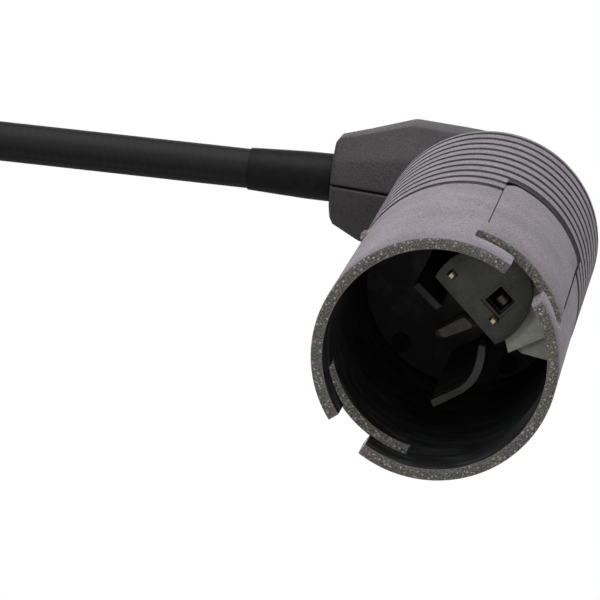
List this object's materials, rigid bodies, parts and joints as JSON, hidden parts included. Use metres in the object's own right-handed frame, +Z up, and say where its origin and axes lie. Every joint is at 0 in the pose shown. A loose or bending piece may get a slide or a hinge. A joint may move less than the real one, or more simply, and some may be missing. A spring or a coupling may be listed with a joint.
{
  "type": "cup anemometer",
  "caption": "Masthead cup anemometer: ribbed bayonet foot with sprung latch, straight carbon arm and a rotor head with hollow cups on a vertical shaft.",
  "frame": {"origin": "centre of the open mouth of the bayonet foot, on the plane of its rim", "axes": "+Z up the foot's barrel, away from the mouth and parallel to the rotor's spin axis; -X along the arm to the rotor head; +Y completes a right-handed frame"},
  "size_m": [0.3158, 0.0983, 0.1576],
  "materials": {
    "sintered_nylon_grey": "grainy sintered nylon, light purple grey",
    "sintered_nylon_dark": "grainy sintered nylon, dark grey",
    "moulded_grey_plastic": "moulded plastic, mid grey, matt",
    "black_plastic": "black glass-filled plastic, satin",
    "stainless_steel": "turned stainless steel",
    "gold_plate": "gold-plated brass",
    "circuit_board": "green solder mask on glass-epoxy board",
    "rubber": "black nitrile rubber",
    "nickel_magnet": "nickel-plated magnet",
    "carbon_tube": "wrapped carbon fibre tube in gloss resin",
    "cable_jacket": "black cable jacket"
  },
  "bodies": {
    "support": {"arm_gland": "rubber", "arm_tube": "carbon_tube", "cable_plug": "moulded_grey_plastic", "capacitor_1": "stainless_steel", "capacitor_2": "stainless_steel", "carrier_screw_1": "stainless_steel", "carrier_screw_2": "stainless_steel", "carrier_screw_3": "stainless_steel", "contact_board": "circuit_board", "contact_carrier": "sintered_nylon_dark", "contact_pin_1": "gold_plate", "contact_pin_2": "gold_plate", "elbow_screw_1": "stainless_steel", "elbow_screw_2": "stainless_steel", "elbow_screw_3": "stainless_steel", "elbow_screw_4": "stainless_steel", "elbow_shell_back": "sintered_nylon_dark", "elbow_shell_front": "sintered_nylon_dark", "foot_barrel": "sintered_nylon_grey", "grub_screw_1": "stainless_steel", "grub_screw_2": "stainless_steel", "guide_bar": "black_plastic", "hall_board": "circuit_board", "head_body": "sintered_nylon_dark", "head_cap": "sintered_nylon_dark", "head_screw_1": "stainless_steel", "head_screw_2": "stainless_steel", "head_screw_3": "stainless_steel", "head_seal": "rubber", "key_plate": "moulded_grey_plastic", "key_shoulder": "moulded_grey_plastic", "keying_rib": "moulded_grey_plastic", "lower_bearing": "stainless_steel", "rear_cap": "sintered_nylon_dark", "rear_screw_1": "stainless_steel", "rear_screw_2": "stainless_steel", "rear_screw_3": "stainless_steel", "rear_screw_4": "stainless_steel", "rear_seal": "rubber", "retainer_peg": "moulded_grey_plastic", "sensor_cable": "cable_jacket", "signal_chip": "black_plastic", "spring_contact": "gold_plate", "upper_bearing": "stainless_steel"},
    "latch": {"latch_tongue": "sintered_nylon_grey"},
    "rotor": {"cup_1": "black_plastic", "cup_2": "black_plastic", "cup_3": "black_plastic", "cup_arm_1": "stainless_steel", "cup_arm_2": "stainless_steel", "cup_arm_3": "stainless_steel", "hub_nut": "stainless_steel", "hub_washer": "stainless_steel", "magnet_ring": "nickel_magnet", "race_spacer": "stainless_steel", "rotor_hub": "black_plastic", "rotor_shaft": "stainless_steel", "shaft_clip": "stainless_steel"}
  },
  "joints": [
    {"name": "rotor_spin", "type": "hinge", "parent": "support", "child": "rotor", "pos_m": [-0.26, 0, 0.106], "axis": [0, 0, 1], "continuous": true},
    {"name": "latch_flex", "type": "hinge", "parent": "support", "child": "latch", "pos_m": [0.01304, -0.01399, 0.0203], "axis": [-0.7314, -0.682, 0], "range_deg": [0, 3], "stiffness_Nm_per_rad": 1.1}
  ]
}
